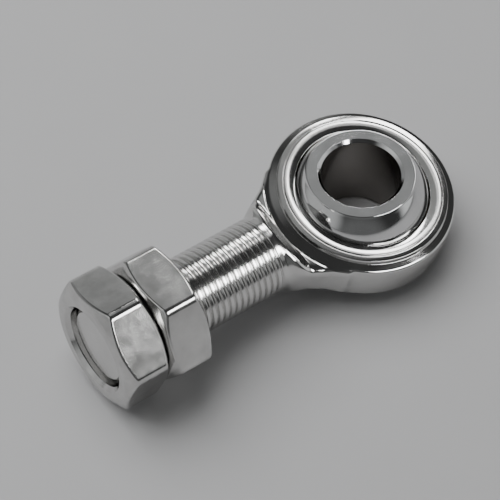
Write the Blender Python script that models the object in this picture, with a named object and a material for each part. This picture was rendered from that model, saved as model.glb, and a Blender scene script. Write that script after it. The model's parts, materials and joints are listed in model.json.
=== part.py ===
"""Rod end bearing with a male shank, a swivelling ball and two jam nuts. Blender 4.5 script, metres, +Z up.

The ball stands upright on its lower face. The housing leans on it, with the shank along -X and its outer
nut resting on the same level.
"""
import math

import bmesh
import bpy
from mathutils import Vector

for _obj in list(bpy.data.objects):
    bpy.data.objects.remove(_obj, do_unlink=True)

MM = 0.001
MERGE = 1e-7

# Ball
BALL_R = 14.2875          # sphere radius, 1 1/8 in ball
BALL_W = 19.05            # width over the two flat faces
BORE_R = 7.9375           # 5/8 in bore
BORE_CHAMFER = 0.60
BALL_FACE_EDGE = 0.25     # break between sphere and face

BALL_X = 22.64            # puts the overall box centre on the origin

# Running gaps
BALL_GAP = 0.16
LINER_GAP = 0.15

# Liner
LINER_T = 0.40
LINER_HALF = 4.20         # half width along the head axis

# Race insert
RACE_R = 15.90            # outer radius of the insert
LIP_Z = 5.05              # height of the lip next to the ball
CREST_R = 14.75
CREST_Z = 5.50
CREST_DIP = 0.08          # fall from the crest to the middle of the inner slope
GROOVE_R = 15.30          # staking groove
GROOVE_Z = 5.12
POCKET_END = 4.40         # the liner pocket stops here

# Head
SEAM_GAP = 0.15           # radial gap between insert and head
HEAD_R = 19.05
FACE_R = 17.25            # inner edge of the head chamfer
FACE_Z = 4.60
EDGE_Z = 4.00             # height where the chamfer meets the rim
HEAD_INNER_Z = 5.15       # head surface next to the insert
RIM_IN = 0.15             # small break on the rim edges
RIM_UP = 0.05
RIM_DOWN = 0.30

# Shank
SHANK_R = 7.9375          # 5/8 in major diameter
THREAD_ROOT = 7.10
PITCH = 25.4 / 18.0
SHANK_END = 62.50
THREAD_START = 25.50      # nearest thread to the head
END_CHAMFER = 1.00
END_LEAD = 0.30           # first crest behind the end face
THREAD_BURIED = 2.0       # plain core carried into the neck
SPARE_TURNS = 1           # turns left out where the thread runs out
NECK_SECTIONS = (         # distance from the ball centre, half width, half height
    (25.2, 7.60, 7.60),
    (23.4, 8.10, 7.40),
    (21.8, 8.90, 6.45),
    (20.4, 9.50, 5.05),
    (19.2, 10.10, 4.00),
    (17.6, 10.90, 3.60),
    (15.6, 11.60, 3.40),
    (13.5, 11.60, 3.20),
)

# Jam nuts
NUT_AF = 23.8125          # 15/16 in across flats
NUT_T = 9.525             # 3/8 in thick
NUT_BORE_R = 8.25
NUT_SINK_R = 9.05
NUT_FACE_R = 11.00        # circle left flat by the 30 degree chamfer
NUT_CHAMFER_DEG = 30.0
NUT_GAP = 0.30
NUT_MEET = 54.25          # plane between the two nuts, from the ball centre
OUTER_NUT_DEG = 97.0      # corner angle about the shank
INNER_NUT_DEG = 115.5

# Lean of the housing on the ball
PITCH_DEG = 4.03
ROLL_DEG = 7.27

# Facets
RING_STEPS = 64
THREAD_STEPS = 28
NECK_STEPS = 40
BALL_ARC_STEPS = 14
LINER_ARC_STEPS = 6
NUT_SIDE_STEPS = 8


def material(name, colour, roughness, metallic):
    mat = bpy.data.materials.new(name)
    mat.use_nodes = True
    node = mat.node_tree.nodes["Principled BSDF"]
    node.inputs["Base Color"].default_value = (*colour, 1.0)
    node.inputs["Roughness"].default_value = roughness
    node.inputs["Metallic"].default_value = metallic
    return mat


def add_object(name, bm, mat, parent=None, smooth=True):
    bmesh.ops.recalc_face_normals(bm, faces=bm.faces[:])
    mesh = bpy.data.meshes.new(name)
    bm.to_mesh(mesh)
    bm.free()
    for poly in mesh.polygons:
        poly.use_smooth = smooth
    if mat is not None:
        mesh.materials.append(mat)
    obj = bpy.data.objects.new(name, mesh)
    bpy.context.collection.objects.link(obj)
    obj.parent = parent
    return obj


def empty(name, location, rotation, parent=None):
    obj = bpy.data.objects.new(name, None)
    bpy.context.collection.objects.link(obj)
    obj.location = location
    obj.rotation_euler = rotation
    obj.parent = parent
    return obj


def revolve(bm, profile, steps=RING_STEPS):
    """Turn a (radius, height) outline in mm about Z; it closes on itself or on the axis."""
    rings = []
    for k in range(steps):
        a = 2.0 * math.pi * k / steps
        c = math.cos(a) * MM
        s = math.sin(a) * MM
        rings.append([bm.verts.new((r * c, r * s, z * MM)) for r, z in profile])
    count = len(profile)
    for k in range(steps):
        here = rings[k]
        after = rings[(k + 1) % steps]
        for i in range(count):
            j = (i + 1) % count
            bm.faces.new((here[i], after[i], after[j], here[j]))
    bmesh.ops.remove_doubles(bm, verts=bm.verts[:], dist=MERGE)
    bmesh.ops.triangulate(bm, faces=bm.faces[:])


def mirrored(upper):
    """Upper half outline, inner side first, closed by its mirror image below."""
    return upper + [(r, -z) for r, z in reversed(upper)]


def sphere_arc(radius, z0, z1, steps):
    points = []
    for k in range(steps + 1):
        z = z0 + (z1 - z0) * k / steps
        points.append((math.sqrt(radius * radius - z * z), z))
    return points


def ball_mesh():
    half = BALL_W / 2.0
    shoulder = half - BALL_FACE_EDGE
    face_r = math.sqrt(BALL_R ** 2 - shoulder ** 2) - BALL_FACE_EDGE
    upper = [
        (BORE_R, half - BORE_CHAMFER),
        (BORE_R + BORE_CHAMFER, half),
        (face_r, half),
    ]
    arc = sphere_arc(BALL_R, shoulder, -shoulder, BALL_ARC_STEPS)
    lower = [(r, -z) for r, z in reversed(upper)]
    bm = bmesh.new()
    revolve(bm, upper + arc + lower)
    return bm


def liner_mesh():
    inner = BALL_R + BALL_GAP
    outer = inner + LINER_T
    arc_in = sphere_arc(inner, LINER_HALF, -LINER_HALF, LINER_ARC_STEPS)
    arc_out = sphere_arc(outer, -LINER_HALF, LINER_HALF, LINER_ARC_STEPS)
    bm = bmesh.new()
    revolve(bm, arc_in + arc_out)
    return bm


def race_mesh():
    lip = BALL_R + BALL_GAP
    pocket = lip + LINER_T + LINER_GAP
    lip_r = math.sqrt(lip ** 2 - LIP_Z ** 2)
    step_in = math.sqrt(lip ** 2 - POCKET_END ** 2)
    step_out = math.sqrt(pocket ** 2 - POCKET_END ** 2)
    top = [
        (RACE_R, 0.0),
        (RACE_R, HEAD_INNER_Z),
        (GROOVE_R, GROOVE_Z),
        (CREST_R, CREST_Z),
        ((CREST_R + lip_r) / 2.0, CREST_Z - CREST_DIP),
        (lip_r, LIP_Z),
        (step_in, POCKET_END),
        (step_out, POCKET_END),
    ]
    arc = sphere_arc(pocket, POCKET_END, -POCKET_END, LINER_ARC_STEPS)[1:-1]
    bottom = [(r, -z) for r, z in reversed(top[1:])]
    bm = bmesh.new()
    revolve(bm, top + arc + bottom)
    return bm


def head_outline():
    """Solid disc; the seat of the insert is cut through it afterwards."""
    upper = [
        (0.0, HEAD_INNER_Z),
        (RACE_R + SEAM_GAP, HEAD_INNER_Z),
        (FACE_R, FACE_Z),
        (HEAD_R - RIM_IN, EDGE_Z + RIM_UP),
        (HEAD_R, EDGE_Z - RIM_DOWN),
    ]
    return mirrored(upper)


def thread_mesh():
    """Right-hand external thread along -X, closed by a flat end and a buried inner end."""
    bm = bmesh.new()
    length = SHANK_END - THREAD_START
    turns = int(length / PITCH) - SPARE_TURNS
    total = turns * THREAD_STEPS
    start = SHANK_END - END_LEAD

    def vert(distance, radius, index):
        a = 2.0 * math.pi * index / THREAD_STEPS
        y = radius * math.cos(a)
        z = radius * math.sin(a)
        return bm.verts.new((-distance * MM, y * MM, z * MM))

    def limit(distance):
        return SHANK_R - END_CHAMFER + max(0.0, SHANK_END - distance)

    crest = []
    root = []
    for i in range(total + THREAD_STEPS + 1):
        d = start - PITCH * i / THREAD_STEPS
        crest.append(vert(d, min(SHANK_R, limit(d)), i))
    for i in range(total + 1):
        d = start - PITCH * (i / THREAD_STEPS + 0.5)
        root.append(vert(d, min(THREAD_ROOT, limit(d)), i))
    for i in range(total):
        bm.faces.new((crest[i], crest[i + 1], root[i + 1], root[i]))
        j = i + THREAD_STEPS
        bm.faces.new((root[i], root[i + 1], crest[j + 1], crest[j]))
    end_r = SHANK_R - END_CHAMFER
    front = [vert(SHANK_END, end_r, i) for i in range(THREAD_STEPS)]
    for i in range(THREAD_STEPS):
        bm.faces.new((front[i], front[(i + 1) % THREAD_STEPS], crest[i + 1], crest[i]))
    bm.faces.new((front[0], crest[THREAD_STEPS], root[0], crest[0]))
    bm.faces.new(front)
    back = [vert(THREAD_START - THREAD_BURIED, THREAD_ROOT, i) for i in range(THREAD_STEPS)]
    for i in range(THREAD_STEPS):
        j = total + i
        bm.faces.new((crest[j], crest[j + 1], back[(i + 1) % THREAD_STEPS], back[i]))
    bm.faces.new((back[0], crest[total], root[total], crest[total + THREAD_STEPS]))
    bm.faces.new(back)
    bmesh.ops.triangulate(bm, faces=bm.faces[:])
    return bm


def neck_mesh():
    """Blend from the round shank to the flatter head, as stacked oval sections."""
    bm = bmesh.new()
    steps = NECK_STEPS
    rings = []
    for distance, wide, high in NECK_SECTIONS:
        ring = []
        for k in range(steps):
            a = 2.0 * math.pi * k / steps
            y = wide * math.cos(a)
            z = high * math.sin(a)
            ring.append(bm.verts.new((-distance * MM, y * MM, z * MM)))
        rings.append(ring)
    for here, after in zip(rings, rings[1:]):
        for k in range(steps):
            j = (k + 1) % steps
            bm.faces.new((here[k], here[j], after[j], after[k]))
    bm.faces.new(rings[0])
    bm.faces.new(rings[-1])
    bmesh.ops.triangulate(bm, faces=bm.faces[:])
    return bm


def bore_cutter_mesh():
    bore = RACE_R + SEAM_GAP
    tall = HEAD_R
    bm = bmesh.new()
    bmesh.ops.create_cone(
        bm, cap_ends=True, segments=RING_STEPS, radius1=bore * MM, radius2=bore * MM, depth=tall * MM
    )
    return bm


def nut_mesh(corner_deg):
    """Hexagon prism along X with a 30 degree chamfer and a countersunk hole on both faces."""
    bm = bmesh.new()
    half = NUT_T / 2.0
    slope = math.tan(math.radians(NUT_CHAMFER_DEG))
    steps = NUT_SIDE_STEPS * 6
    sink = half - (NUT_SINK_R - NUT_BORE_R)
    rows = [[], [], [], [], [], [], [], []]
    for k in range(steps):
        a = math.radians(corner_deg) + 2.0 * math.pi * k / steps
        local = (k % NUT_SIDE_STEPS) / NUT_SIDE_STEPS * math.pi / 3.0 - math.pi / 6.0
        reach = (NUT_AF / 2.0) / math.cos(local)
        edge = half - (reach - NUT_FACE_R) * slope
        outline = (
            (NUT_BORE_R, -sink),
            (NUT_SINK_R, -half),
            (NUT_FACE_R, -half),
            (reach, -edge),
            (reach, edge),
            (NUT_FACE_R, half),
            (NUT_SINK_R, half),
            (NUT_BORE_R, sink),
        )
        for row, (radius, x) in zip(rows, outline):
            y = radius * math.cos(a)
            z = radius * math.sin(a)
            row.append(bm.verts.new((x * MM, y * MM, z * MM)))
    for i, here in enumerate(rows):
        after = rows[(i + 1) % len(rows)]
        for k in range(steps):
            j = (k + 1) % steps
            bm.faces.new((here[k], here[j], after[j], after[k]))
    return bm


def boolean(target, cutter, operation):
    modifier = target.modifiers.new(operation.lower() + "_" + cutter.name, "BOOLEAN")
    modifier.operation = operation
    modifier.solver = "EXACT"
    modifier.object = cutter
    cutter.hide_render = True
    cutter.display_type = "WIRE"


def joined(target, tool, operation):
    """Apply one exact Boolean and drop the tool."""
    boolean(target, tool, operation)
    depsgraph = bpy.context.evaluated_depsgraph_get()
    mesh = bpy.data.meshes.new_from_object(target.evaluated_get(depsgraph))
    target.modifiers.clear()
    old = target.data
    target.data = mesh
    bpy.data.meshes.remove(old)
    bpy.data.objects.remove(tool, do_unlink=True)


steel = material("polished_steel", (0.62, 0.62, 0.61), 0.16, 1.0)
race_steel = material("race_steel", (0.60, 0.60, 0.59), 0.20, 1.0)
ball_steel = material("ball_steel", (0.66, 0.66, 0.66), 0.10, 1.0)
nut_steel = material("nut_steel", (0.58, 0.58, 0.57), 0.24, 1.0)
ptfe = material("ptfe_fabric", (0.16, 0.12, 0.08), 0.75, 0.0)

ball_centre = Vector((BALL_X, 0.0, BALL_W / 2.0)) * MM
lean = (math.radians(ROLL_DEG), math.radians(PITCH_DEG), 0.0)
head_axis = empty("head_axis", ball_centre, lean)

head_bm = bmesh.new()
revolve(head_bm, head_outline())
body = add_object("rod_end_body", head_bm, steel, head_axis)
neck = add_object("neck", neck_mesh(), None, head_axis)
thread = add_object("thread", thread_mesh(), None, head_axis)
bore_tool = add_object("bore_tool", bore_cutter_mesh(), None, head_axis)
bpy.context.view_layer.update()
joined(body, neck, "UNION")
joined(body, thread, "UNION")
joined(body, bore_tool, "DIFFERENCE")

add_object("race_insert", race_mesh(), race_steel, head_axis)
add_object("liner", liner_mesh(), ptfe, head_axis)

ball = add_object("ball", ball_mesh(), ball_steel)
ball.location = ball_centre

for nut_name, side, angle in (("jam_nut_outer", 1.0, OUTER_NUT_DEG), ("jam_nut_inner", -1.0, INNER_NUT_DEG)):
    nut = add_object(nut_name, nut_mesh(angle), nut_steel, head_axis, smooth=False)
    nut.location = Vector((-(NUT_MEET + side * (NUT_T + NUT_GAP) / 2.0) * MM, 0.0, 0.0))
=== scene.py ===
import json
import math

import bmesh
import bpy
import numpy as np
from mathutils import Matrix, Vector


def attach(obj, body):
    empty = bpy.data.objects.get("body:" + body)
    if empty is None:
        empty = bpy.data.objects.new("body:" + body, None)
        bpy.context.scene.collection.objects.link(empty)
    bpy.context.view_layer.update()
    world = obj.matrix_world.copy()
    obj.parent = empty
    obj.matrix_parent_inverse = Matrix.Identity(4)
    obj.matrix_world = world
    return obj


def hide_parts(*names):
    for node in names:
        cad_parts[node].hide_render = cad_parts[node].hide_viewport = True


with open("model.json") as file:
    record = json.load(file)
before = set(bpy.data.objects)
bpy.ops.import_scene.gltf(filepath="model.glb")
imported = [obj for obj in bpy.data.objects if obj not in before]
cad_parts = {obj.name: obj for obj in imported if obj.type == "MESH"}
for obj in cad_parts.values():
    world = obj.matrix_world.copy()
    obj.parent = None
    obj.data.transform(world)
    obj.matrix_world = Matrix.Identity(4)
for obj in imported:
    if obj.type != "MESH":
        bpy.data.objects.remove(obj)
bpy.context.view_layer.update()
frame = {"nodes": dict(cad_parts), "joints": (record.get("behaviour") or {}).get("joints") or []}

MM = 0.001
MERGE = 2e-7              # m, points closer than this are one
NEEDLE = 1e-8             # m, edges shorter than this are dropped

# Places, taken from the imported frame
joints = {j["name"]: j for j in frame["joints"]}
CENTRE = Vector(joints["liner_turn"]["pos_m"])
AXIS_Z = Vector(joints["liner_turn"]["axis"]).normalized()
AXIS_X = Vector(joints["inner_nut_travel"]["axis"]).normalized()
AXIS_Y = AXIS_Z.cross(AXIS_X).normalized()
HEAD = Matrix.Translation(CENTRE) @ Matrix((AXIS_X, AXIS_Y, AXIS_Z)).transposed().to_4x4()
UPRIGHT = Matrix.Translation(CENTRE)

# ---------------------------------------------------------------- camera
CAM_AZIMUTH = 51.549      # degrees, the way the camera looks on the floor
CAM_ELEVATION = 54.959    # degrees, how far it looks down
CAM_ROLL = -1.989
CAM_DISTANCE = 362.95     # mm from the aim point
CAM_OFFSET = (3.407, 1.563)    # mm, shift to the left and up
CAM_AIM = Vector((0.0, 0.0, 9.0)) * MM
CAM_LENS = 133.53
CAM_SENSOR = 36.0
CAM_NEAR = 0.01
CAM_FAR = 50.0


def make_camera():
    az = math.radians(CAM_AZIMUTH)
    el = math.radians(CAM_ELEVATION)
    roll = math.radians(CAM_ROLL)
    forward = Vector((math.cos(el) * math.cos(az), math.cos(el) * math.sin(az), -math.sin(el)))
    flat_right = forward.cross(Vector((0, 0, 1))).normalized()
    flat_down = forward.cross(flat_right).normalized()
    right = math.cos(roll) * flat_right + math.sin(roll) * flat_down
    down = -math.sin(roll) * flat_right + math.cos(roll) * flat_down
    place = CAM_AIM - (right * CAM_OFFSET[0] + down * CAM_OFFSET[1] + forward * CAM_DISTANCE) * MM
    data = bpy.data.cameras.new("camera")
    data.sensor_width = CAM_SENSOR
    data.lens = CAM_LENS
    data.clip_start = CAM_NEAR
    data.clip_end = CAM_FAR
    cam = bpy.data.objects.new("camera", data)
    bpy.context.scene.collection.objects.link(cam)
    rot = Matrix((right, -down, -forward)).transposed().to_4x4()
    cam.matrix_world = Matrix.Translation(place) @ rot
    bpy.context.scene.camera = cam


make_camera()

# ---------------------------------------------------------------- mesh helpers
LATHE_STEPS = 224
CORNER_STEPS = 5
NORMAL_POWER = 1.5        # how strongly large faces win over small ones
CORNER_SHARE = 0.49       # most of an edge that one corner arc may use


def new_object(name, verts, faces, place):
    """Mesh object from mm coordinates in the local frame given by place, with face-weighted normals."""
    mesh = bpy.data.meshes.new(name)
    mesh.from_pydata([place @ Vector([c * MM for c in v]) for v in verts], [], faces)
    bm = bmesh.new()
    bm.from_mesh(mesh)
    bmesh.ops.remove_doubles(bm, verts=bm.verts[:], dist=MERGE)
    bmesh.ops.dissolve_degenerate(bm, edges=bm.edges[:], dist=NEEDLE)
    bmesh.ops.recalc_face_normals(bm, faces=bm.faces[:])
    bm.to_mesh(mesh)
    open_edges = sum(1 for e in bm.edges if len(e.link_faces) != 2)
    bm.free()
    assert open_edges == 0, (name, open_edges)
    mesh.shade_smooth()
    weigh_normals(mesh)
    obj = bpy.data.objects.new(name, mesh)
    bpy.context.scene.collection.objects.link(obj)
    return obj


def weigh_normals(mesh):
    """Vertex normals weighted by face area, so that flats stay flat beside small edge rounds."""
    total = np.zeros((len(mesh.vertices), 3))
    for poly in mesh.polygons:
        n = np.array(poly.normal) * poly.area ** NORMAL_POWER
        for v in poly.vertices:
            total[v] += n
    length = np.linalg.norm(total, axis=1)
    total /= np.maximum(length, 1e-30)[:, None]
    mesh.normals_split_custom_set_from_vertices([tuple(t) for t in total])


def rounded(points, steps=CORNER_STEPS):
    """Outline with its corners turned into arcs; points are (r, z, radius)."""
    out = []
    count = len(points)
    for i in range(count):
        r, z, rad = points[i]
        here = np.array((r, z))
        if rad <= 0.0:
            out.append(tuple(here))
            continue
        before = np.array(points[i - 1][:2]) - here
        after = np.array(points[(i + 1) % count][:2]) - here
        lb = np.linalg.norm(before)
        la = np.linalg.norm(after)
        before /= lb
        after /= la
        half = math.acos(float(np.clip(before @ after, -1.0, 1.0))) / 2.0
        cut = min(rad / math.tan(half), lb * CORNER_SHARE, la * CORNER_SHARE)
        radius = cut * math.tan(half)
        middle = (before + after) / np.linalg.norm(before + after)
        arc_centre = here + middle * (radius / math.sin(half))
        a = here + before * cut - arc_centre
        b = here + after * cut - arc_centre
        span = math.acos(float(np.clip(a @ b / radius ** 2, -1.0, 1.0)))
        for k in range(steps + 1):
            t = k / steps
            p = (math.sin((1 - t) * span) * a + math.sin(t * span) * b) / math.sin(span)
            out.append(tuple(arc_centre + p))
    return out


def wrapped_faces(rings, size):
    """Faces between closed outlines of equal size that stand in a closed circle."""
    faces = []
    for k in range(rings):
        j = (k + 1) % rings
        for i in range(size):
            m = (i + 1) % size
            faces.append((k * size + i, j * size + i, j * size + m, k * size + m))
    return faces


def lathe(outline):
    """Turn a closed (radius, height) outline about Z."""
    verts = []
    for k in range(LATHE_STEPS):
        a = 2.0 * math.pi * k / LATHE_STEPS
        verts += [(r * math.cos(a), r * math.sin(a), z) for r, z in outline]
    return verts, wrapped_faces(LATHE_STEPS, len(outline))


def sphere_points(radius, z0, z1, steps):
    """Arc of a sphere about the origin, as outline points without corner rounding."""
    points = []
    a0 = math.asin(z0 / radius)
    a1 = math.asin(z1 / radius)
    for k in range(steps + 1):
        a = a0 + (a1 - a0) * k / steps
        points.append((radius * math.cos(a), radius * math.sin(a), 0.0))
    return points


# ---------------------------------------------------------------- materials
SMEAR_SCALE = (260.0, 260.0, 260.0)       # wiped patches, per metre
SMEAR_ROUGH_RANGE = (0.3, 0.75)           # noise values that span the change in roughness
SMEAR_TINT_RANGE = (0.35, 0.65)           # and the change in colour
PIT_SCALE = (900.0, 900.0, 900.0)
PIT_DEPTH = 0.25          # against the machining marks
STREAK = 14.0             # marks are this much longer than they are wide
DULLING = 0.07            # darkening in the smears
STEEL_BUMP = 0.06
STEEL_BUMP_DEPTH = 0.00002
WEAVE_SCALE = (3000.0, 3000.0, 3000.0)
WEAVE_RANGE = (0.3, 0.7)
WEAVE_ROUGH = (0.6, 0.85)
WEAVE_BUMP = 0.4
WEAVE_BUMP_DEPTH = 0.00005
WEAVE_LOW = (0.05, 0.035, 0.02)
WEAVE_HIGH = (0.13, 0.09, 0.05)


class Nodes:
    """Short calls for building a node tree; place is the local frame its textures follow."""

    def __init__(self, name, place=None):
        self.mat = bpy.data.materials.new(name)
        self.mat.use_nodes = True
        self.tree = self.mat.node_tree
        self.tree.nodes.clear()
        self.out = self.add("ShaderNodeOutputMaterial")
        self.bsdf = self.add("ShaderNodeBsdfPrincipled")
        self.link(self.bsdf, "BSDF", self.out, "Surface")
        self.coords = self.add("ShaderNodeTexCoord")
        self.source = "Object"
        if place is not None:
            back = place.inverted()
            local = self.add("ShaderNodeMapping")
            local.inputs["Location"].default_value = back.to_translation()
            local.inputs["Rotation"].default_value = back.to_euler("XYZ")
            self.link(self.coords, "Object", local, "Vector")
            self.coords = local
            self.source = "Vector"

    def add(self, kind, **values):
        node = self.tree.nodes.new(kind)
        for key, value in values.items():
            if hasattr(node, key):
                setattr(node, key, value)
            else:
                node.inputs[key].default_value = value
        return node

    def link(self, a, out, b, inp):
        self.tree.links.new(a.outputs[out], b.inputs[inp])

    def mapping(self, scale):
        node = self.add("ShaderNodeMapping")
        node.inputs["Scale"].default_value = scale
        self.link(self.coords, self.source, node, "Vector")
        return node

    def noise(self, source, scale, detail=4.0, rough=0.55):
        node = self.add("ShaderNodeTexNoise")
        node.inputs["Scale"].default_value = scale
        node.inputs["Detail"].default_value = detail
        node.inputs["Roughness"].default_value = rough
        self.link(source, "Vector", node, "Vector")
        return node

    def ramp(self, source, out, span, result):
        """Another node's value, taken from one span of values to another."""
        node = self.add("ShaderNodeMapRange")
        node.inputs["From Min"].default_value = span[0]
        node.inputs["From Max"].default_value = span[1]
        node.inputs["To Min"].default_value = result[0]
        node.inputs["To Max"].default_value = result[1]
        self.link(source, out, node, "Value")
        return node

    def blend(self, source, out, low, high):
        """Base colour between two colours, by the value of another node."""
        mix = self.add("ShaderNodeMix", data_type="RGBA")
        mix.inputs[6].default_value = (*low, 1.0)
        mix.inputs[7].default_value = (*high, 1.0)
        self.link(source, out, mix, 0)
        self.link(mix, 2, self.bsdf, "Base Color")

    def bump(self, source, out, strength, depth):
        node = self.add("ShaderNodeBump")
        node.inputs["Strength"].default_value = strength
        node.inputs["Distance"].default_value = depth
        self.link(source, out, node, "Height")
        self.link(node, "Normal", self.bsdf, "Normal")

    def math(self, op, a, a_out, b):
        node = self.add("ShaderNodeMath", operation=op)
        self.link(a, a_out, node, 0)
        if isinstance(b, tuple):
            self.tree.links.new(b[0].outputs[b[1]], node.inputs[1])
        else:
            node.inputs[1].default_value = b
        return node


def ring_marks(n, scale):
    """Fine rings about the turning axis, from the distance to it and the height."""
    sep = n.add("ShaderNodeSeparateXYZ")
    n.link(n.coords, n.source, sep, "Vector")
    sx = n.math("POWER", sep, "X", 2.0)
    sy = n.math("POWER", sep, "Y", 2.0)
    add = n.math("ADD", sx, 0, (sy, 0))
    radius = n.math("SQRT", add, 0, 0.0)
    comb = n.add("ShaderNodeCombineXYZ")
    n.link(radius, 0, comb, "X")
    n.link(sep, "Z", comb, "Y")
    return n.noise(comb, scale, 3.0, 0.7)


def long_marks(n, scale):
    """Fine drawn marks along the local X axis."""
    return n.noise(n.mapping((scale / STREAK, scale, scale)), 1.0, 3.0, 0.7)


def steel(name, place, colour, rough, spread, mark_scale, mark_depth, marks=ring_marks, cloud=0.0):
    """Polished steel with fine machining marks, smears and small pits."""
    n = Nodes(name, place)
    n.bsdf.inputs["Metallic"].default_value = 1.0
    smear = n.noise(n.mapping(SMEAR_SCALE), 1.0, 5.0, 0.6)
    line = marks(n, mark_scale)
    rough_a = n.ramp(smear, "Fac", SMEAR_ROUGH_RANGE, (rough - spread, rough + spread))
    rough_b = n.math("MULTIPLY_ADD", line, "Fac", spread)
    n.link(rough_a, "Result", rough_b, 2)
    n.link(rough_b, 0, n.bsdf, "Roughness")
    low = tuple(c * (1.0 - DULLING - cloud) for c in colour)
    fac = n.ramp(smear, "Fac", SMEAR_TINT_RANGE, (0.0, 1.0))
    n.blend(fac, "Result", low, colour)
    pits = n.noise(n.mapping(PIT_SCALE), 1.0, 2.0, 0.5)
    height = n.math("MULTIPLY_ADD", line, "Fac", mark_depth)
    soft = n.math("MULTIPLY", pits, "Fac", PIT_DEPTH)
    n.link(soft, 0, height, 2)
    n.bump(height, 0, STEEL_BUMP, STEEL_BUMP_DEPTH)
    return n.mat


def liner_material():
    """Dark woven PTFE."""
    n = Nodes("ptfe_liner")
    weave = n.noise(n.mapping(WEAVE_SCALE), 1.0, 3.0, 0.6)
    n.blend(weave, "Fac", WEAVE_LOW, WEAVE_HIGH)
    rough = n.ramp(weave, "Fac", WEAVE_RANGE, WEAVE_ROUGH)
    n.link(rough, "Result", n.bsdf, "Roughness")
    n.bump(weave, "Fac", WEAVE_BUMP, WEAVE_BUMP_DEPTH)
    return n.mat


BODY_STEEL = (0.66, 0.655, 0.645)
RACE_STEEL = (0.64, 0.635, 0.625)
NUT_STEEL = (0.64, 0.635, 0.625)
BALL_STEEL = (0.70, 0.70, 0.70)
# Darker colour for the bore wall: painted shade inside the bore, not a darker steel
BORE_SHADE_STEEL = (0.30, 0.285, 0.27)

# Name, frame, colour, roughness and its spread, spacing and depth of the machining marks
MAT_BODY = steel("body_polished", HEAD, BODY_STEEL, 0.10, 0.025, 9000.0, 1.0)
MAT_SHANK = steel("shank_polished", HEAD, BODY_STEEL, 0.13, 0.03, 9000.0, 0.6, marks=long_marks)
MAT_RACE = steel("race_polished", HEAD, RACE_STEEL, 0.10, 0.025, 12000.0, 1.0)
MAT_BALL = steel("ball_polished", UPRIGHT, BALL_STEEL, 0.07, 0.02, 12000.0, 0.8)
MAT_BORE_SHADE = steel("ball_bore_painted_shade", UPRIGHT, BORE_SHADE_STEEL, 0.17, 0.04, 9000.0, 1.0)
MAT_NUT = steel("nut_polished", HEAD, NUT_STEEL, 0.15, 0.05, 4000.0, 0.9, marks=long_marks, cloud=0.12)
MAT_LINER = liner_material()


def dress(obj, mat):
    """Give an object one material only."""
    obj.data.materials.clear()
    obj.data.materials.append(mat)


# ---------------------------------------------------------------- ball
BALL_R = 14.2875
BALL_HALF = 9.525
BALL_SHOULDER = 9.22      # height where the sphere ends below the flat face
BALL_FACE_IN = 0.16       # the face edge lies this far inside the end of the sphere
BALL_ARC_STEPS = 72
BORE_R = 7.9375
BORE_CHAMFER = 0.60
BORE_SKIN = 0.05          # faces this close to the bore take the darker colour of the painted shade inside the bore


def make_ball():
    """Truncated sphere with a chamfered through bore."""
    face_r = math.sqrt(BALL_R ** 2 - BALL_SHOULDER ** 2) - BALL_FACE_IN
    top = [
        (BORE_R, BALL_HALF - BORE_CHAMFER, 0.08),
        (BORE_R + BORE_CHAMFER, BALL_HALF, 0.06),
        (face_r, BALL_HALF, 0.22),
    ]
    arc = sphere_points(BALL_R, BALL_SHOULDER, -BALL_SHOULDER, BALL_ARC_STEPS)
    bottom = [(r, -z, rad) for r, z, rad in reversed(top)]
    verts, faces = lathe(rounded(top + arc + bottom))
    obj = new_object("ball_polished", verts, faces, UPRIGHT)
    dress(obj, MAT_BALL)
    obj.data.materials.append(MAT_BORE_SHADE)
    # The bore wall faces take the darker colour: painted shade inside the bore
    for poly in obj.data.polygons:
        here = poly.center - CENTRE
        if math.hypot(here.x, here.y) < (BORE_R + BORE_SKIN) * MM:
            poly.material_index = 1
    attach(obj, "ball")
    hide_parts("ball")
    return obj


# ---------------------------------------------------------------- race insert
RACE_R = 15.90
RACE_EDGE = 0.10          # chamfer at the seam, in and down
RACE_EDGE_DROP = 0.14
LIP = BALL_R + 0.16       # sphere of the lip beside the ball
LIP_Z = 4.98
POCKET = LIP + 0.55       # sphere behind the liner
POCKET_END = 4.40
CROWN_R = 15.55           # highest line of the ring
CROWN_Z = 5.50
CROWN_OUTER = 0.035       # bend of the ring on either side of that line, 1/mm
CROWN_INNER = 0.078
CROWN_START = 13.62
CROWN_STEPS = 24
POCKET_STEPS = 10


def crown_height(r):
    """Height of the rounded ring that the race and the head face make together."""
    u = r - CROWN_R
    bend = CROWN_OUTER if u > 0.0 else CROWN_INNER
    return CROWN_Z - bend * u ** 2


def crown_points(r_from, r_to, steps):
    radii = [r_from - (r_from - r_to) * k / steps for k in range(steps + 1)]
    return [(r, crown_height(r), 0.0) for r in radii]


def make_race():
    """Ring insert with a pocket for the liner, the same above and below."""
    lip_r = math.sqrt(LIP ** 2 - LIP_Z ** 2)
    step_in = math.sqrt(LIP ** 2 - POCKET_END ** 2)
    step_out = math.sqrt(POCKET ** 2 - POCKET_END ** 2)
    top = [(RACE_R, crown_height(RACE_R) - RACE_EDGE_DROP, 0.04)]
    top += crown_points(RACE_R - RACE_EDGE, CROWN_START, CROWN_STEPS)
    top += [
        (lip_r, LIP_Z, 0.12),
        (step_in, POCKET_END, 0.0),
        (step_out, POCKET_END, 0.0),
    ]
    arc = sphere_points(POCKET, POCKET_END, -POCKET_END, POCKET_STEPS)[1:-1]
    bottom = [(r, -z, rad) for r, z, rad in reversed(top)]
    verts, faces = lathe(rounded(top + arc + bottom))
    obj = new_object("race_insert_polished", verts, faces, HEAD)
    dress(obj, MAT_RACE)
    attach(obj, "housing")
    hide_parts("race_insert")
    return obj


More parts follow.
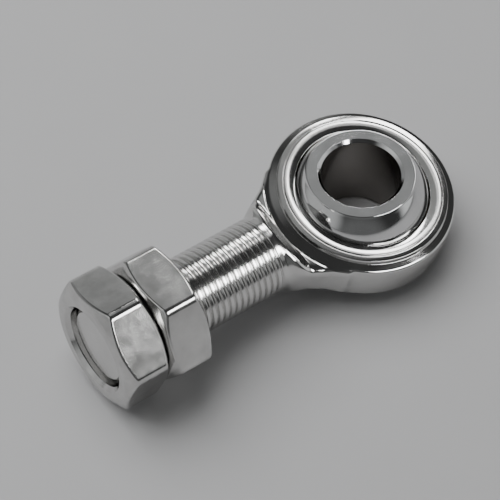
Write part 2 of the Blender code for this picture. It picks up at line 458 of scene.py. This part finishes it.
# ---------------------------------------------------------------- housing
HEAD_R = 19.05
SEAT_R = 15.95            # hole for the race insert
SEAT_EDGE = 0.10
SEAT_EDGE_DROP = 0.16
SEAT_TOP = 4.60
FACE_R = 17.25            # the ring ends here and the cone of the chamfer begins
FACE_Z = 4.60
FACE_EDGE = 0.05
FACE_ROUND = 0.12
CONE = 1.0 / 3.0          # fall of the chamfer
CONE_START = FACE_R + 0.8
CONE_INNER = FACE_R + 0.20
CONE_STEPS = 16
CONE_BUNCH = 1.7          # gathers the rows of the chamfer at its outer edge
CONE_ABOVE = 0.5          # search range of the chamfer surface
CONE_BELOW = 1.0
CROWN_EDGE = FACE_R - 0.06
CROWN_ROWS = 8
SEAT_ROWS = 7
RING_STEP = 0.02
WALL_CROWN = 0.12         # fall of the side wall towards its edges
WALL_CROWN_AT = 4.0       # height at which it has fallen that far
DISC_HALF = 4.9           # rough half thickness before turning
CUT_R = 19.60             # reach of the facing tool
CUT_RISE = 1.6            # slope at which it leaves the metal
PLATE_Z = FACE_Z - (CUT_R - FACE_R) * CONE
EDGE_BLEND = 0.42         # softness of the turned edges
EDGE_FROM = 18.4          # the outer edge is looked for from here
EDGE_SAMPLES = 400

# Neck, as distances from the ball centre and half sizes
SHANK_R = 7.9375
NECK_END = 23.7
FLARE_START = 13.8
FLARE_HALF = math.sqrt(HEAD_R ** 2 - FLARE_START ** 2)
FLARE_POWER = 1.12
FLARE_FADE = 0.6          # drops the flare away inside the head
SHOULDER_START = 19.1
SHOULDER_RUN = 4.6
SHOULDER_STEP = 0.05      # the neck stands this far above the end of the cut
OVAL_POWER = 2.0          # round at the shank
BOX_POWER = 7.0           # and squarer by this much at the head
BOX_RUN = 6.0
NECK_BLEND = 1.5
LID_SIDE = 2.0            # how fast the limit on the neck's height lets go, towards the head
LID_RISE = 1.5            # and towards the shank
LID_BLEND = 0.3

# Grid of the side wall
WALL_STEPS = 26
AZIMUTH_STEPS = 150
NECK_STEPS = 40
FAN_TURN = math.radians(112.0)
WALL_BUNCH = 1.6          # gathers the rows of the wall at its edges
RAY_NEAR = 1.0
RAY_FAR = 21.2
HALVINGS = 44


def smoothstep(t):
    t = np.clip(t, 0.0, 1.0)
    return t * t * (3.0 - 2.0 * t)


def cut_height(r):
    """Height of the turned chamfer at radius r."""
    return FACE_Z - (r - FACE_R) * CONE


def smooth_max(a, b, k):
    """Larger of two fields, rounded over a width k where they meet."""
    h = np.clip(0.5 + 0.5 * (a - b) / k, 0.0, 1.0)
    return b * (1.0 - h) + a * h + k * h * (1.0 - h)


def blank(x, y, z):
    """Distance-like field of the forged blank: head disc flared into the round shank."""
    r = np.hypot(x, y)
    disc = np.maximum(r - (HEAD_R - WALL_CROWN * (z / WALL_CROWN_AT) ** 2), np.abs(z) - DISC_HALF)
    run = np.clip((NECK_END + x) / (NECK_END - FLARE_START), 0.0, 1.0)
    wide = SHANK_R + (FLARE_HALF - SHANK_R) * run ** FLARE_POWER
    rise = smoothstep((-x - SHOULDER_START) / SHOULDER_RUN)
    plate = PLATE_Z + SHOULDER_STEP
    high = plate + (SHANK_R - plate) * rise
    power = OVAL_POWER + BOX_POWER * smoothstep((NECK_END + x) / BOX_RUN)
    oval = ((np.abs(y) / wide) ** power + (np.abs(z) / high) ** power) ** (1.0 / power)
    neck = (oval - 1.0) * np.minimum(wide, high)
    neck = neck + FLARE_FADE * np.clip(x + FLARE_START, 0.0, None) ** 2
    joined = -smooth_max(-neck, -disc, NECK_BLEND)
    lid = np.abs(z) - high - LID_SIDE * np.clip(CUT_R - r, 0.0, None) - LID_RISE * rise
    return smooth_max(joined, lid, LID_BLEND)


def turned(x, y, z):
    """Blank with its two faces turned on the lathe, edges slightly broken."""
    r = np.hypot(x, y)
    over = (np.abs(z) - cut_height(r)) / math.hypot(1.0, CONE)
    over = over - CUT_RISE * np.clip(r - CUT_R, 0.0, None)
    return smooth_max(blank(x, y, z), over, EDGE_BLEND)


def solve(f, lo, hi):
    """Bisection of whole arrays, with f negative at lo and positive at hi."""
    for _ in range(HALVINGS):
        mid = (lo + hi) / 2.0
        inside = f(mid) < 0.0
        lo = np.where(inside, mid, lo)
        hi = np.where(inside, hi, mid)
    return (lo + hi) / 2.0


def first_exit(theta):
    """Radius where the turned face leaves the blank, for each azimuth."""
    c = np.cos(theta)
    s = np.sin(theta)
    grid = np.linspace(EDGE_FROM, CUT_R, EDGE_SAMPLES)
    values = blank(grid[None, :] * c[:, None], grid[None, :] * s[:, None], cut_height(grid)[None, :])
    found = (values > 0.0).any(axis=1)
    first = np.where(found, np.argmax(values > 0.0, axis=1), len(grid) - 1)
    lo = grid[np.maximum(first - 1, 0)]
    hi = grid[first]
    return solve(lambda r: blank(r * c, r * s, cut_height(r)), lo, hi)


def edge_curve():
    """Upper edge of the side wall, from the tip of the head round to the neck."""
    theta = np.linspace(0.0, math.pi, AZIMUTH_STEPS + 1)
    radius = first_exit(theta)
    x = radius * np.cos(theta)
    y = radius * np.sin(theta)
    y[0] = 0.0
    y[-1] = 0.0
    return theta, radius, x, y, cut_height(radius)


def wall_rays():
    """For each row of the wall: where its rays start, their azimuth, steepest slope and even spread."""
    theta, radius, edge_x, edge_y, edge_z = edge_curve()
    back = np.clip((theta - FAN_TURN) / (math.pi - FAN_TURN), 0.0, 1.0)
    psi = np.where(theta <= FAN_TURN, theta, FAN_TURN + (math.pi / 2 - FAN_TURN) * smoothstep(back))
    psi[-1] = math.pi / 2
    reach = radius.copy()
    reach[1:] = edge_y[1:] / np.sin(psi[1:])
    start = edge_x - reach * np.cos(psi)
    steep = np.arctan2(edge_z, reach)
    more = np.arange(1, NECK_STEPS + 1) / NECK_STEPS
    upright = np.full(NECK_STEPS, math.pi / 2)
    start = np.concatenate([start, edge_x[-1] + (-NECK_END - edge_x[-1]) * more])
    psi = np.concatenate([psi, upright])
    steep = np.concatenate([steep, upright])
    evenness = np.concatenate([np.zeros(AZIMUTH_STEPS + 1), smoothstep(more * 2.0)])
    return start[:, None], psi[:, None], steep[:, None], evenness[:, None]


def wall_grid():
    """Side wall of the head and the neck, as rows of points from the lower to the upper edge."""
    start, psi, steep, evenness = wall_rays()
    even = np.linspace(-1.0, 1.0, 2 * WALL_STEPS + 1)[None, :]
    eased = np.sign(even) * (1.0 - (1.0 - np.abs(even)) ** WALL_BUNCH)
    phi = steep * (eased * (1.0 - evenness) + even * evenness)
    ux = np.cos(psi) * np.cos(phi)
    uy = np.sin(psi) * np.cos(phi)
    uz = np.sin(phi)
    near = np.full(phi.shape, RAY_NEAR)
    far = np.full(phi.shape, RAY_FAR)
    rho = solve(lambda q: turned(start + q * ux, q * uy, q * uz), near, far)
    x = start + rho * ux
    y = rho * uy
    z = rho * uz
    y[0, :] = 0.0
    y[AZIMUTH_STEPS:, 0] = 0.0
    y[AZIMUTH_STEPS:, -1] = 0.0
    return x, y, z


def add_grid(verts, faces, x, y, z):
    """Add a sheet of quads from arrays of coordinates."""
    base = len(verts)
    rows, cols = x.shape
    verts.extend(zip(x.ravel(), y.ravel(), z.ravel()))
    for i in range(rows - 1):
        for j in range(cols - 1):
            a = base + i * cols + j
            faces.append((a, a + 1, a + cols + 1, a + cols))


def all_round(half, sign=1.0):
    """Close a half curve with its mirror image across the XZ plane."""
    return np.concatenate([half, sign * half[-2:0:-1], half[:1]])


def ring_outline():
    """Outline of the ring face and the seat, from the chamfer inwards and down to mid height."""
    outer = [
        (CONE_START, cut_height(CONE_START), 0.0),
        (FACE_R + FACE_EDGE, cut_height(FACE_R + FACE_EDGE), FACE_ROUND),
    ]
    crown = crown_points(CROWN_EDGE, SEAT_R + SEAT_EDGE, CROWN_ROWS)
    seat = [
        (SEAT_R, crown_height(SEAT_R) - SEAT_EDGE_DROP, 0.04),
        (SEAT_R, SEAT_TOP, 0.0),
        (SEAT_R, 0.0, 0.0),
    ]
    outline = rounded(outer + crown + seat, SEAT_ROWS)
    return [(CONE_INNER, cut_height(CONE_INNER))] + [p for p in outline if p[0] < CONE_INNER - RING_STEP]


def turned_faces(verts, faces, edge_x, edge_y, edge_z):
    """Chamfer, ring face and seat, from the outer edge curve inwards, on both sides."""
    x = all_round(edge_x)
    y = all_round(edge_y, -1.0)
    edge_r = np.hypot(x, y)[:, None]
    around = np.arctan2(y, x)[:, None]
    cos_a = np.cos(around)
    sin_a = np.sin(around)
    t = np.linspace(0.0, 1.0, CONE_STEPS + 1)[None, :] ** CONE_BUNCH
    r = edge_r + (CONE_INNER - edge_r) * t
    level = cut_height(r)
    z = solve(lambda q: turned(r * cos_a, r * sin_a, q), level - CONE_BELOW, level + CONE_ABOVE)
    z[:, 0] = all_round(edge_z)
    z[:, -1] = cut_height(CONE_INNER)
    ring = np.array(ring_outline())
    ring_r = ring[None, :, 0]
    ring_z = ring[None, :, 1] + 0.0 * around
    for side in (1.0, -1.0):
        add_grid(verts, faces, r * cos_a, r * sin_a, side * z)
        add_grid(verts, faces, ring_r * cos_a, ring_r * sin_a, side * ring_z)


# Thread
PITCH = 25.4 / 18.0
SHANK_END = 62.5
ROOT_R = 7.36
END_CHAMFER = 0.96
ROWS_PER_TURN = 16
CREST_SHARE = 0.46        # flat parts of one pitch
ROOT_SHARE = 0.07
FLANK_BEND = 0.35         # how far the flanks are softened
RUN_OUT = 1.3             # pitches in which the thread fades at the neck
RUN_OUT_START = 0.05
SPARE_TURNS = 3           # turns beyond the length, cut off at both ends
END_R = SHANK_R - END_CHAMFER
END_RINGS = (END_R, END_R - 0.5, END_R - 1.5, 4.0, 2.0, 0.7, 0.0)


def thread_height(phase):
    """1 on the crest, 0 in the root, straight flanks between, softened."""
    d = np.abs((phase + 0.5) % 1.0 - 0.5) * 2.0
    t = (d - CREST_SHARE) / (1.0 - CREST_SHARE - ROOT_SHARE)
    t = np.clip(t, 0.0, 1.0)
    return 1.0 - ((1.0 - FLANK_BEND) * t + FLANK_BEND * smoothstep(t))


def thread_grid(verts, faces, ring_y, ring_z):
    """Right-hand thread from the neck ring to the end face, in rows that follow the helix."""
    ang = np.unwrap(np.arctan2(ring_z, ring_y))
    ang = np.append(ang, ang[0] + 2.0 * math.pi)
    share = (ang - ang[0]) / (2.0 * math.pi)
    turns = int((SHANK_END - NECK_END) / PITCH) + SPARE_TURNS
    steps = np.arange(turns * ROWS_PER_TURN + 1) / ROWS_PER_TURN
    lead = -NECK_END + PITCH - PITCH * steps[:, None] + PITCH * share[None, :]
    depth = (1.0 - thread_height(steps))[:, None] * (SHANK_R - ROOT_R)
    x = np.clip(lead, -SHANK_END, -NECK_END)
    fade = smoothstep((-NECK_END - RUN_OUT_START - x) / (RUN_OUT * PITCH))
    r = np.minimum(SHANK_R - depth * fade, END_R + x + SHANK_END)
    add_grid(verts, faces, x, r * np.cos(ang), r * np.sin(ang))
    end = np.array(END_RINGS)[None, :]
    around = ang[:, None]
    flat = np.full((len(ang), len(END_RINGS)), -SHANK_END)
    add_grid(verts, faces, flat, end * np.cos(around), end * np.sin(around))


def make_housing():
    """Head, neck and threaded shank as one closed skin."""
    x, y, z = wall_grid()
    verts = []
    faces = []
    add_grid(verts, faces, x, y, z)
    add_grid(verts, faces, x, -y, z)
    n = AZIMUTH_STEPS + 1
    turned_faces(verts, faces, x[:n, -1], y[:n, -1], z[:n, -1])
    thread_grid(verts, faces, all_round(y[-1], -1.0)[:-1], all_round(z[-1])[:-1])
    obj = new_object("housing_polished", verts, faces, HEAD)
    dress(obj, MAT_BODY)
    obj.data.materials.append(MAT_SHANK)
    back = HEAD.inverted()
    for poly in obj.data.polygons:
        if (back @ poly.center).x < -(NECK_END - RUN_OUT_START) * MM:
            poly.material_index = 1
    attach(obj, "housing")
    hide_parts("rod_end_body")
    return obj


# ---------------------------------------------------------------- nuts
NUT_APOTHEM = 23.8125 / 2.0
NUT_HALF = 9.525 / 2.0
NUT_BORE_R = 8.25
NUT_SINK_R = 9.05
NUT_SINK_DEPTH = 0.80
NUT_FACE_R = 11.0         # circle that the chamfer leaves flat
NUT_CONE = math.tan(math.radians(30.0))
NUT_GAP = 0.30
NUT_MEET = 54.25          # middle of the gap, from the ball centre
CORNER_ROUND = 1.8
OUTER_NUT_DEG = 97.0      # angle of one corner about the shank
INNER_NUT_DEG = 115.5
TIP_STEPS = 5
SIDE_STEPS = 14
SIDE_BUNCH = 1.3
NUT_ARC_STEPS = 6
NUT_OFFSET = (2.0 * NUT_HALF + NUT_GAP) / 2.0
HEX = math.pi / 3.0
HEX_HALF = math.pi / 6.0


def hex_radius(a):
    """Radius of a hexagon with rounded corners, at the angle a from a corner, up to half a side."""
    q = CORNER_ROUND
    if a > tip_angle():
        return NUT_APOTHEM / math.cos(HEX_HALF - a)
    corner = (NUT_APOTHEM - q) / math.cos(HEX_HALF)
    return corner * math.cos(a) + math.sqrt(q ** 2 - (corner * math.sin(a)) ** 2)


def tip_angle():
    """Half the angle that a corner arc takes up, seen from the shank."""
    corner = (NUT_APOTHEM - CORNER_ROUND) / math.cos(HEX_HALF)
    return math.atan2(CORNER_ROUND * math.sin(HEX_HALF), corner + CORNER_ROUND * math.cos(HEX_HALF))


def nut_outlines():
    """Pairs of an angle from the first corner and the outline of the nut there."""
    tip = tip_angle()
    half = [tip * k / TIP_STEPS for k in range(TIP_STEPS + 1)]
    half += [tip + (HEX_HALF - tip) * (k / SIDE_STEPS) ** SIDE_BUNCH for k in range(1, SIDE_STEPS + 1)]
    side = [(a, hex_radius(a)) for a in half[:-1]]
    side += [(HEX - a, hex_radius(a)) for a in reversed(half[1:])]
    return [(k * HEX + a, nut_outline(r)) for k in range(6) for a, r in side]


def nut_outline(r):
    """Closed outline of the nut where its side stands at radius r."""
    half = [
        (NUT_BORE_R, 0.0, 0.0),
        (NUT_BORE_R, NUT_HALF - NUT_SINK_DEPTH, 0.10),
        (NUT_SINK_R, NUT_HALF, 0.12),
        (NUT_FACE_R, NUT_HALF, 1.6),
        (r, NUT_HALF - (r - NUT_FACE_R) * NUT_CONE, 0.7),
        (r, 0.0, 0.0),
    ]
    lower = [(p, -q, rad) for p, q, rad in reversed(half[1:-1])]
    return rounded(half + lower, NUT_ARC_STEPS)


def make_nut(node, body, x_mid, corner):
    """Hexagon nut on the shank; corner is the angle of one corner in degrees."""
    start = math.radians(corner)
    outlines = nut_outlines()
    verts = []
    for a, line in outlines:
        verts += [(x_mid + q, p * math.cos(a + start), p * math.sin(a + start)) for p, q in line]
    faces = wrapped_faces(len(outlines), len(outlines[0][1]))
    obj = new_object(node + "_polished", verts, faces, HEAD)
    dress(obj, MAT_NUT)
    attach(obj, body)
    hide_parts(node)
    return obj


# ---------------------------------------------------------------- studio
FLOOR_SIDE = 3.0
FLOOR_ROUGH = 0.75
FLOOR_GRAIN = (40.0, 40.0, 40.0)
FLOOR_LOW = (0.44, 0.44, 0.445)
FLOOR_HIGH = (0.46, 0.46, 0.465)
ROOM_TINT = (0.98, 1.0, 1.0, 1.0)
ROOM_BASE = 0.045
ROOM_CORE = 0.55          # part of a patch's half angle at full level
ROOM_EDGE = 1.25          # and where it has faded to nothing

# Soft patches of the dim studio room: azimuth, elevation, half angle, radiance
ROOM_PATCHES = (
    (56.0, 63.0, 17.0, 0.28),
    (66.0, 6.0, 22.0, 0.42),
    (105.0, 6.0, 30.0, 0.24),
    (165.0, 10.0, 36.0, 0.48),
    (150.0, 42.0, 20.0, 0.24),
    (-32.0, 0.0, 27.0, 0.75),
    (-58.0, 23.0, 11.0, 0.24),
    (-128.0, -8.0, 40.0, 0.10),
)


def make_floor():
    """Level sheet of pale studio paper."""
    mesh = bpy.data.meshes.new("floor")
    corners = [(-1, -1, 0), (1, -1, 0), (1, 1, 0), (-1, 1, 0)]
    mesh.from_pydata([Vector(c) * FLOOR_SIDE for c in corners], [], [(0, 1, 2, 3)])
    obj = bpy.data.objects.new("floor", mesh)
    bpy.context.scene.collection.objects.link(obj)
    n = Nodes("floor_paper")
    n.bsdf.inputs["Roughness"].default_value = FLOOR_ROUGH
    grain = n.noise(n.mapping(FLOOR_GRAIN), 1.0, 3.0)
    n.blend(grain, "Fac", FLOOR_LOW, FLOOR_HIGH)
    dress(obj, n.mat)
    return obj


def toward(azimuth, elevation):
    """Unit direction at an azimuth and an elevation in degrees."""
    az = math.radians(azimuth)
    el = math.radians(elevation)
    return Vector((math.cos(el) * math.cos(az), math.cos(el) * math.sin(az), math.sin(el)))


def softbox(name, azimuth, elevation, distance, size, radiance, mirrored=True, lights_floor=False):
    """Rectangular soft light aimed at the part; radiance is what a mirror would show of it."""
    data = bpy.data.lights.new(name, "AREA")
    data.shape = "RECTANGLE"
    data.size = size[0]
    data.size_y = size[1]
    data.energy = radiance * math.pi * size[0] * size[1]
    obj = bpy.data.objects.new(name, data)
    bpy.context.scene.collection.objects.link(obj)
    way = toward(azimuth, elevation)
    turn = (-way).to_track_quat("-Z", "Y").to_matrix().to_4x4()
    obj.matrix_world = Matrix.Translation(way * distance) @ turn
    obj.visible_glossy = mirrored
    obj.visible_diffuse = lights_floor
    return obj


def make_world():
    """Dim room around the part, which its steel mirrors."""
    world = bpy.data.worlds.new("studio")
    world.use_nodes = True
    tree = world.node_tree
    back = tree.nodes["Background"]
    coords = tree.nodes.new("ShaderNodeTexCoord")
    total = None
    for azimuth, elevation, half, level in ROOM_PATCHES:
        dot = tree.nodes.new("ShaderNodeVectorMath")
        dot.operation = "DOT_PRODUCT"
        dot.inputs[1].default_value = toward(azimuth, elevation)
        tree.links.new(coords.outputs["Generated"], dot.inputs[0])
        fall = tree.nodes.new("ShaderNodeMapRange")
        fall.interpolation_type = "SMOOTHSTEP"
        fall.inputs["From Min"].default_value = math.cos(math.radians(half * ROOM_EDGE))
        fall.inputs["From Max"].default_value = math.cos(math.radians(half * ROOM_CORE))
        fall.inputs["To Min"].default_value = 0.0
        fall.inputs["To Max"].default_value = level
        tree.links.new(dot.outputs["Value"], fall.inputs["Value"])
        add = tree.nodes.new("ShaderNodeMath")
        add.operation = "ADD"
        tree.links.new(fall.outputs["Result"], add.inputs[0])
        if total is None:
            add.inputs[1].default_value = ROOM_BASE
        else:
            tree.links.new(total, add.inputs[1])
        total = add.outputs[0]
    tree.links.new(total, back.inputs["Strength"])
    back.inputs["Color"].default_value = ROOM_TINT
    bpy.context.scene.world = world


make_ball()
make_race()
make_housing()
make_nut("jam_nut_outer", "outer_nut", -NUT_MEET - NUT_OFFSET, OUTER_NUT_DEG)
make_nut("jam_nut_inner", "inner_nut", -NUT_MEET + NUT_OFFSET, INNER_NUT_DEG)
dress(frame["nodes"]["liner"], MAT_LINER)
make_floor()
make_world()
# Name, azimuth, elevation, distance and size in metres, radiance
softbox("key", 112, 62, 0.90, (0.90, 0.90), 4.3, mirrored=False, lights_floor=True)
softbox("strip_right", -67, 44, 0.5, (0.36, 0.13), 14.0)
softbox("back_low", 46, 40, 0.7, (0.18, 0.17), 14.0)
softbox("back_left", 24, 45, 0.7, (0.10, 0.19), 9.0)
softbox("back_high", 21, 56, 0.7, (0.13, 0.14), 0.8)
softbox("strip_left", 170, 52, 0.7, (0.28, 0.06), 2.0)
